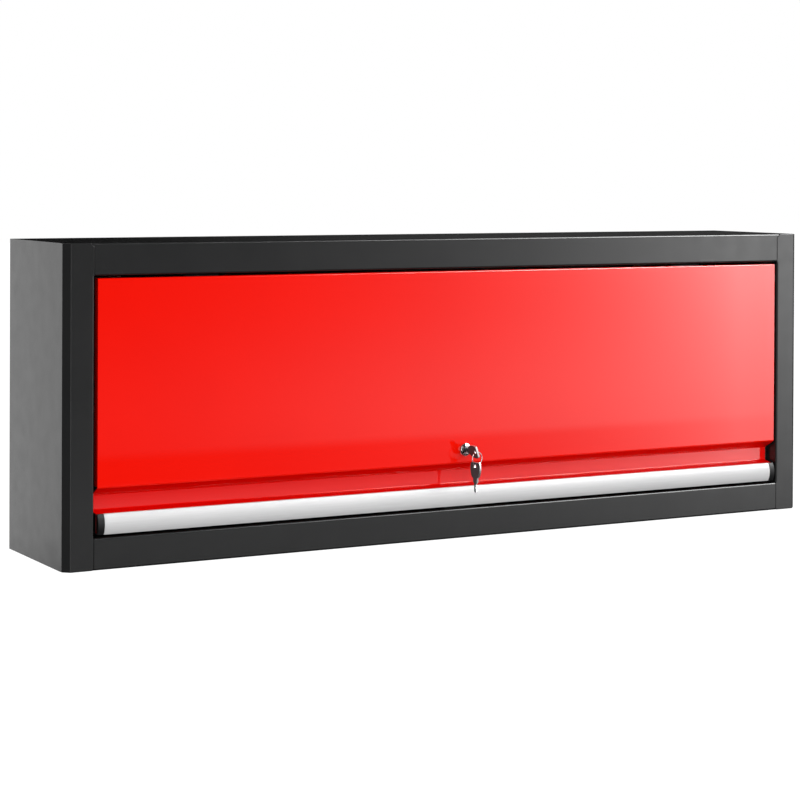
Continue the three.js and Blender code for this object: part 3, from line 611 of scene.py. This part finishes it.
def add_screws(name, points, body, radius=4.0, rise=2.2, seed=1):
    values = {
        "Head radius": radius * MM,
        "Head height": rise * MM,
        "Recess reach": radius * RECESS_REACH_SHARE * MM,
        "Recess width": radius * RECESS_WIDTH_SHARE * MM,
        "Seed": seed,
    }
    SCREWS.make(name, points_mesh(name, points), values, body, "zinc_steel")


def add_domes(name, points, body, slot, radius, rise, seed=1):
    values = {"Head radius": radius * MM, "Head height": rise * MM, "Seed": seed}
    DOMES.make(name, points_mesh(name, points), values, body, slot)


SHEET = 1.2
BRACKET_PLATE = 2.5
KEEPER_PLATE = 2
SMALL_SCREW = 3.6


def hinge_screws(hand, side):
    """Two screws up through each hinge bracket's foot, and two through its leaf into the door."""
    foot_spread, foot_inset = 18, 6.5
    leaf_spread, leaf_rise = 15, 19
    low, high = box_mm("hinge_bracket_" + hand)
    middle = (low.x + high.x) / 2
    foot_y, foot_z = high.y - foot_inset, high.z - BRACKET_PLATE
    points = [((middle + step, foot_y, foot_z), DOWN) for step in (-foot_spread, foot_spread)]
    add_screws("hinge_foot_screws_" + hand, points, "cabinet", seed=3 + side)
    low, high = box_mm("hinge_leaf_" + hand)
    face_y, leaf_z = low.y + BRACKET_PLATE, low.z + leaf_rise
    points = [((middle + step, face_y, leaf_z), BACK) for step in (-leaf_spread, leaf_spread)]
    add_screws("hinge_leaf_screws_" + hand, points, "door", seed=5 + side)


def strut_screws(hand, side):
    """Two screws in each of a strut's brackets, on the carcass and on the door."""
    foot_spread, foot_inset = 17, 15
    base_inset, base_end = 11, 6
    low, high = box_mm("strut_bracket_" + hand)
    middle = (low.y + high.y) / 2
    foot_x = (high.x - foot_inset) if side > 0 else (low.x + foot_inset)
    foot_z = high.z - BRACKET_PLATE
    points = [((foot_x, middle + step, foot_z), DOWN) for step in (-foot_spread, foot_spread)]
    add_screws("strut_bracket_screws_" + hand, points, "cabinet", seed=7 + side)
    low, high = box_mm("door_bracket_" + hand)
    base_x = (low.x + base_inset) if side > 0 else (high.x - base_inset)
    face_y = low.y + BRACKET_PLATE
    points = [((base_x, face_y, z), BACK) for z in (low.z + base_end, high.z - base_end)]
    add_screws("door_bracket_screws_" + hand, points, "door", radius=SMALL_SCREW, rise=2.0, seed=9 + side)


def hanging_plate_rivets(hand, side):
    """A rivet at each corner of a hanging plate."""
    inset = 9
    low, high = box_mm("hanging_plate_" + hand)
    points = [((x, low.y, z), FORWARD) for x in (low.x + inset, high.x - inset)
              for z in (low.z + inset, high.z - inset)]
    add_domes("hanging_plate_rivets_" + hand, points, "cabinet", "zinc_steel", 3.2, 1.1, seed=11 + side)


def stiffener_welds():
    """The dimples of the spot welds along both feet of the door's stiffener."""
    foot_half, end_gap, count = 7.5, 10, 14
    low, high = box_mm("door_stiffener")
    foot = low.y + SHEET
    points = []
    for z in (low.z + foot_half, high.z - foot_half):
        places = row((low.x + end_gap, foot, z), (high.x - end_gap, foot, z), count)
        points += [(place, BACK) for place in places]
    add_domes("stiffener_spot_welds", points, "door", "door_paint", 2.8, 0.22)


def keeper_screws():
    """Two screws down through the keeper's foot."""
    spread, inset = 19, 7
    low, high = box_mm("lock_keeper")
    points = [((x, high.y - inset, low.z + KEEPER_PLATE), UP) for x in (-spread, spread)]
    add_screws("keeper_screws", points, "cabinet", radius=SMALL_SCREW, rise=1.9, seed=17)


def pan_rivets():
    """Pop rivets through the back panel's flange, along both sides."""
    flange_middle, end_gap, count = -9, 20, 7
    low, high = box_mm("back_panel")
    points = []
    for x, way in ((low.x + SHEET, (1, 0, 0)), (high.x - SHEET, (-1, 0, 0))):
        places = row((x, flange_middle, low.z + end_gap), (x, flange_middle, high.z - end_gap), count)
        points += [(place, way) for place in places]
    add_domes("back_panel_rivets", points, "cabinet", "zinc_steel", 2.4, 0.9, seed=19)


def prism(corners):
    """A closed prism between two rings of corners, given one after the other."""
    count = len(corners) // 2
    faces = [tuple(range(count)), tuple(range(2 * count - 1, count - 1, -1))]
    faces += [(i, (i + 1) % count, count + (i + 1) % count, count + i) for i in range(count)]
    mesh = bpy.data.meshes.new("prism")
    mesh.from_pydata(corners, [], faces)
    work = bmesh.new()
    work.from_mesh(mesh)
    bmesh.ops.recalc_face_normals(work, faces=work.faces)
    work.to_mesh(mesh)
    work.free()
    return mesh


STOP_LIP_SETBACK = 27.9
TRIM_SECTION = (
    (0.9, 0.2), (3.2, 0), (4.1, 0.9), (4.1, 4.3), (3.2, 5.2), (0.9, 5.0), (-0.2, 4.0), (-0.2, 1.2))
TRIM_ROUND = 0.3


def jamb_edge_trims():
    """Black rubber beads on the raw edges of the two lips that the door stops on."""
    low, high = box_mm("door_skin")
    sheet_low, sheet_high = box_mm("left_side_sheet")
    lip_edge = sheet_high.x
    front_face = sheet_low.y + STOP_LIP_SETBACK
    for hand, side in HANDS:
        corners = [
            Vector((-side * (lip_edge + x), front_face + y, z)) * MM
            for z in (low.z, high.z) for x, y in TRIM_SECTION]
        trim = new_piece("jamb_edge_trim_" + hand, prism(corners), "cabinet", "rubber")
        round_edges(trim, TRIM_ROUND)


LIP_BOTTOM_TO_FRAME = 54.5
END_PLATE_SECTION = ((6.4, 54.6), (23.5, 54.6), (23.5, 57.5), (9.4, 57.5), (9.4, 86.2), (6.4, 86.2))
END_PLATE_WALL = 0.6
END_PLATE_ROUND = 0.2


def handle_end_plates():
    """Thin black plates, part of the end caps, that cover the cut ends of the door's lip."""
    low, high = box_mm("door_skin")
    bottom = low.z - LIP_BOTTOM_TO_FRAME
    for hand, side in HANDS:
        inner = high.x if side > 0 else low.x
        outer = inner + side * END_PLATE_WALL
        corners = [
            Vector((x, low.y + y, bottom + z)) * MM
            for x in (inner, outer) for y, z in END_PLATE_SECTION]
        plate = new_piece("handle_end_plate_" + hand, prism(corners), "door", "black_plastic")
        round_edges(plate, END_PLATE_ROUND)


def place_mesh(piece, matrix):
    """Moves the mesh and leaves the object at the origin."""
    piece.data.transform(matrix)
    piece.data.update()


def barrel_thread():
    """The thread on the lock's barrel, behind its nut."""
    low, high = box_mm("lock_body")
    nut_back = box_mm("lock_nut")[1].y
    nut_gap, run_out = 0.6, 1.4
    start, end = nut_back + nut_gap, high.y - run_out
    radius, pitch = 9.0, 1.5
    values = {
        "Radius": radius * MM,
        "Turns": (end - start) / pitch,
        "Rise": (end - start) * MM,
        "Steps a turn": 32,
        "Section width": 0.9 * MM,
        "Section height": 0.75 * MM,
        "Section corner": 0.2 * MM,
    }
    thread = WINDING.make("lock_barrel_thread", bpy.data.meshes.new("thread"), values, "door", "zinc_steel")
    middle = (low + high) / 2
    lay = Matrix.Translation(Vector((middle.x, start, middle.z)) * MM) @ Matrix.Rotation(-math.pi / 2, 4, "X")
    place_mesh(thread, lay)


RING_TURN = math.radians(13)


def split_ring():
    """The key ring: two close turns of flat wire."""
    low, high = box_mm("key_ring")
    middle = (low + high) / 2
    outer = (high.z - low.z) / 2
    wire = 1.5
    coil = 0.68
    slack = 0.16
    values = {
        "Radius": (outer - wire / 2) * MM,
        "Turns": 1.94,
        "Rise": (wire - coil) * MM,
        "Steps a turn": 64,
        "Section width": (wire - slack) * MM,
        "Section height": coil * MM,
        "Section corner": 0.22 * MM,
    }
    ring = WINDING.make(
        "key_ring_finished", bpy.data.meshes.new("ring"), values, "key_ring", "ring_steel", "key_ring")
    axis = Vector((-math.sin(RING_TURN), math.cos(RING_TURN), 0))
    start = middle - axis * (wire - coil) / 2
    lay = Matrix.Translation(start * MM) @ axis.to_track_quat("Z", "Y").to_matrix().to_4x4()
    place_mesh(ring, lay)


SAME_WAY = 0.9
PARALLEL = 0.999


def finish_key(node, flat_axis):
    """A key with worn bright edges: faces that turn away from its flat sides take the edge finish."""
    work = merged_copy(node)
    for face in work.faces:
        face.material_index = 0 if abs(face.normal.dot(flat_axis)) > SAME_WAY else 1
    smooth_faces(work)
    mesh = mesh_from(work, node)
    mesh.materials.append(MATERIALS["key_steel"])
    mesh.materials.append(KEY_EDGE)
    piece = new_piece(node + "_finished", mesh, BODY_OF[node], "key_steel", node)
    round_edges(piece, EDGE_ROUND["key_steel"])


def flat_side(node):
    """The way a key's flat sides face: the normal that carries the most area."""
    mesh = NODES[node].data
    best = Vector((1, 0, 0))
    most = 0
    for face in mesh.polygons:
        area = sum(other.area for other in mesh.polygons if abs(other.normal.dot(face.normal)) > PARALLEL)
        if area > most:
            most = area
            best = face.normal.copy()
    return best


def add_pieces():
    special = {"key_ring", "key_in_lock", "spare_key"}
    for node in sorted(NODES):
        if node not in special:
            finish_node(node)
    for node in ("key_in_lock", "spare_key"):
        finish_key(node, flat_side(node))
    split_ring()
    for hand, side in HANDS:
        hinge_screws(hand, side)
        strut_screws(hand, side)
        hanging_plate_rivets(hand, side)
    stiffener_welds()
    keeper_screws()
    pan_rivets()
    barrel_thread()
    handle_end_plates()
    jamb_edge_trims()


# Studio

FLOOR_LEVEL = -1.15
FLOOR_REACH = 40
FLOOR_TO_CAMERA = 0.9
AMBIENT = 0.95
FRONT_WALL = -4.6
SIDE_WALL_BACK = 4.4
REAR_WALL = 4.5
LEFT_WALL = -4.2
CEILING = 3.6
LOW_EDGE = -1.2
REACH_LEFT, REACH_RIGHT = -5, 8
REAR_LEFT, REAR_RIGHT = -1.0, 9


def stage_plane(name, corners, material):
    mesh = bpy.data.meshes.new(name)
    mesh.from_pydata([Vector(corner) for corner in corners], [], [(0, 1, 2, 3)])
    mesh.materials.append(material)
    plane = bpy.data.objects.new(name, mesh)
    bpy.context.collection.objects.link(plane)
    return plane


def card(name, corners, material):
    """A card that shows in gloss and metal, and neither lights the object nor stands in the picture."""
    plane = stage_plane(name, corners, material)
    plane.visible_camera = False
    plane.visible_diffuse = False
    plane.visible_transmission = False
    plane.visible_volume_scatter = False
    plane.visible_shadow = False


def upright_card(name, left, right, y, bottom, top, material):
    card(name, [(left, y, bottom), (right, y, bottom), (right, y, top), (left, y, top)], material)


def level_card(name, left, right, front, back, z, material):
    card(name, [(left, front, z), (right, front, z), (right, back, z), (left, back, z)], material)


class Glow:
    """A light-giving material whose strength is worked out from the place on a card."""

    def __init__(self, name):
        self.material = bpy.data.materials.new(name)
        self.material.use_nodes = True
        self.tree = self.material.node_tree
        self.tree.nodes.clear()
        output = self.tree.nodes.new("ShaderNodeOutputMaterial")
        self.light = self.tree.nodes.new("ShaderNodeEmission")
        self.tree.links.new(self.light.outputs[0], output.inputs[0])
        place = self.tree.nodes.new("ShaderNodeTexCoord")
        parts = self.tree.nodes.new("ShaderNodeSeparateXYZ")
        self.tree.links.new(place.outputs["Object"], parts.inputs[0])
        self.across = parts.outputs["X"]
        self.up = parts.outputs["Z"]

    def math(self, operation, first, second=0.0):
        node = self.tree.nodes.new("ShaderNodeMath")
        node.operation = operation
        for index, value in enumerate((first, second)):
            if isinstance(value, bpy.types.NodeSocket):
                self.tree.links.new(value, node.inputs[index])
            else:
                node.inputs[index].default_value = value
        return node.outputs[0]

    def times(self, *values):
        return functools.reduce(lambda first, second: self.math("MULTIPLY", first, second), values)

    def plus(self, *values):
        return functools.reduce(lambda first, second: self.math("ADD", first, second), values)

    def ramp(self, value, low, high, to_low, to_high):
        """A smooth step from one strength to another."""
        node = self.tree.nodes.new("ShaderNodeMapRange")
        node.interpolation_type = "SMOOTHSTEP"
        self.tree.links.new(value, node.inputs["Value"])
        numbers = {"From Min": low, "From Max": high, "To Min": to_low, "To Max": to_high}
        for socket, number in numbers.items():
            node.inputs[socket].default_value = number
        return node.outputs["Result"]

    def strength(self, value):
        """Sets the strength, a socket or a number, and gives the finished material."""
        if isinstance(value, bpy.types.NodeSocket):
            self.tree.links.new(value, self.light.inputs["Strength"])
        else:
            self.light.inputs["Strength"].default_value = value
        return self.material


def front_card():
    """The wall behind the camera as the gloss sees it: dark, with a tall strip at the left and a panel that
    grows bright to the right. The recess and the bottom rail see the wall's low part."""
    glow = Glow("front_soft_panel")
    across, up = glow.across, glow.up
    rise = glow.math("EXPONENT", glow.math("DIVIDE", glow.math("SUBTRACT", across, 2.8), 0.63))
    level = glow.math("MINIMUM", up, 0.12)
    height = glow.math("EXPONENT", glow.math("DIVIDE", glow.math("ADD", level, 0.11), 0.85))
    panel = glow.times(
        glow.math("MINIMUM", rise, 6.2),
        height,
        glow.ramp(across, 4.3, 5.8, 1.0, 0.2),
        glow.ramp(up, 0.35, 1.2, 1.0, 0.1))
    recess_light = glow.times(
        glow.ramp(up, 0.0, -0.6, 0.0, 0.16),
        glow.ramp(across, 0.9, 3.2, 1.0, 5.4),
        glow.ramp(across, 3.4, 4.2, 1.0, 0.5),
        glow.ramp(up, -0.66, -0.71, 1.0, 0.2))
    rail_light = glow.ramp(up, -0.77, -0.98, 0.0, 1.35)
    strip = glow.times(glow.ramp(across, -3.3, -3.0, 0.0, 2.4), glow.ramp(across, -1.9, -1.6, 1.0, 0.0))
    total = glow.plus(panel, recess_light, rail_light, strip)
    upright_card("front_card", REACH_LEFT, REACH_RIGHT, FRONT_WALL, -3, 4, glow.strength(total))


def side_card():
    """A bright panel behind the left, seen by the left side sheet."""
    glow = Glow("side_soft_panel")
    near_edge = -1.2
    shine = glow.times(
        glow.ramp(glow.across, near_edge, -2.1, 0.4, 1.52),
        glow.ramp(glow.across, -2.15, -2.6, 1.0, 0.68),
        glow.ramp(glow.across, -3.2, -3.5, 1.0, 0.02))
    upright_card("side_card", -6, near_edge, SIDE_WALL_BACK, -2, 2.6, glow.strength(shine))


def top_card():
    """A panel overhead that gives the folded top edge its line of light, brighter to the right."""
    glow = Glow("top_soft_panel")
    shine = glow.ramp(glow.across, 1.7, 3.2, 0.1, 21.0)
    level_card("top_card", REACH_LEFT, REACH_RIGHT, FRONT_WALL, 0.3, CEILING, glow.strength(shine))


def rear_card():
    """The dim wall behind the right, seen by the top panel at a grazing angle."""
    glow = Glow("rear_dim_wall")
    shine = glow.ramp(glow.across, 1.0, 3.0, 0.004, 0.05)
    upright_card("rear_card", REAR_LEFT, REAR_RIGHT, REAR_WALL, LOW_EDGE, CEILING, glow.strength(shine))


def flags():
    """Dark boards that keep the white world out of the gloss on the left, over the back and below."""
    left = [
        (LEFT_WALL, FRONT_WALL, -2), (LEFT_WALL, 1.2, -2),
        (LEFT_WALL, 1.2, CEILING), (LEFT_WALL, FRONT_WALL, CEILING)]
    card("left_flag", left, Glow("left_flag").strength(0.05))
    level_card(
        "ceiling_flag", REAR_LEFT, REAR_RIGHT, 0.3, REAR_WALL, CEILING, Glow("ceiling_flag").strength(0.015))
    level_card("floor_flag", -4, 5, -4.4, -0.1, -1.1, Glow("floor_flag").strength(0.015))


def add_floor():
    """A plain pale floor, white to the camera where no shadow falls."""
    material = bpy.data.materials.new("pale_floor")
    material.use_nodes = True
    tree = material.node_tree
    shader = tree.nodes["Principled BSDF"]
    shader.inputs["Base Color"].default_value = (0.2, 0.2, 0.2, 1)
    shader.inputs["Roughness"].default_value = 0.9
    shader.inputs["Specular IOR Level"].default_value = 0.0
    shader.inputs["Emission Color"].default_value = (1, 1, 1, 1)
    rays = tree.nodes.new("ShaderNodeLightPath")
    lift = tree.nodes.new("ShaderNodeMath")
    lift.operation = "MULTIPLY"
    tree.links.new(rays.outputs["Is Camera Ray"], lift.inputs[0])
    lift.inputs[1].default_value = FLOOR_TO_CAMERA
    tree.links.new(lift.outputs[0], shader.inputs["Emission Strength"])
    reach = FLOOR_REACH
    stage_plane("pale_floor", [
        (-reach, -reach, FLOOR_LEVEL), (reach, -reach, FLOOR_LEVEL),
        (reach, reach, FLOOR_LEVEL), (-reach, reach, FLOOR_LEVEL)], material)


def add_world():
    """A white world to the camera and to gloss, and a soft even light on everything else."""
    world = bpy.data.worlds.new("white_studio")
    bpy.context.scene.world = world
    world.use_nodes = True
    tree = world.node_tree
    shade = tree.nodes["Background"]
    shade.inputs["Color"].default_value = (1, 1, 1, 1)
    rays = tree.nodes.new("ShaderNodeLightPath")
    seen = rays.outputs["Is Camera Ray"]
    for other in ("Is Glossy Ray", "Is Transmission Ray"):
        node = tree.nodes.new("ShaderNodeMath")
        node.operation = "MAXIMUM"
        tree.links.new(seen, node.inputs[0])
        tree.links.new(rays.outputs[other], node.inputs[1])
        seen = node.outputs[0]
    strength = tree.nodes.new("ShaderNodeMapRange")
    tree.links.new(seen, strength.inputs["Value"])
    strength.inputs["To Min"].default_value = AMBIENT
    strength.inputs["To Max"].default_value = 1.0
    tree.links.new(strength.outputs["Result"], shade.inputs["Strength"])


def add_lamp(name, place, target, size, power):
    """A soft box aimed at a place. Its own shape doesn't show in the gloss."""
    light = bpy.data.lights.new(name, "AREA")
    light.shape = "RECTANGLE"
    light.size, light.size_y = size
    light.energy = power
    lamp = bpy.data.objects.new(name, light)
    lamp.visible_glossy = False
    aim = (Vector(target) - Vector(place)).to_track_quat("-Z", "Y")
    lamp.matrix_world = Matrix.Translation(place) @ aim.to_matrix().to_4x4()
    bpy.context.collection.objects.link(lamp)


def add_studio():
    add_world()
    add_floor()
    front_card()
    side_card()
    top_card()
    rear_card()
    flags()
    add_lamp("soft_front", (0.2, -4.6, 0.7), (0, 0, 0), (4.4, 2.6), 146)
    add_lamp("soft_left", (-3.4, 2.4, 1.6), (-0.5, 0, 0), (2.0, 2.0), 40)


add_camera()
add_pieces()
add_studio()

scene = bpy.context.scene
scene.view_settings.view_transform = "Standard"
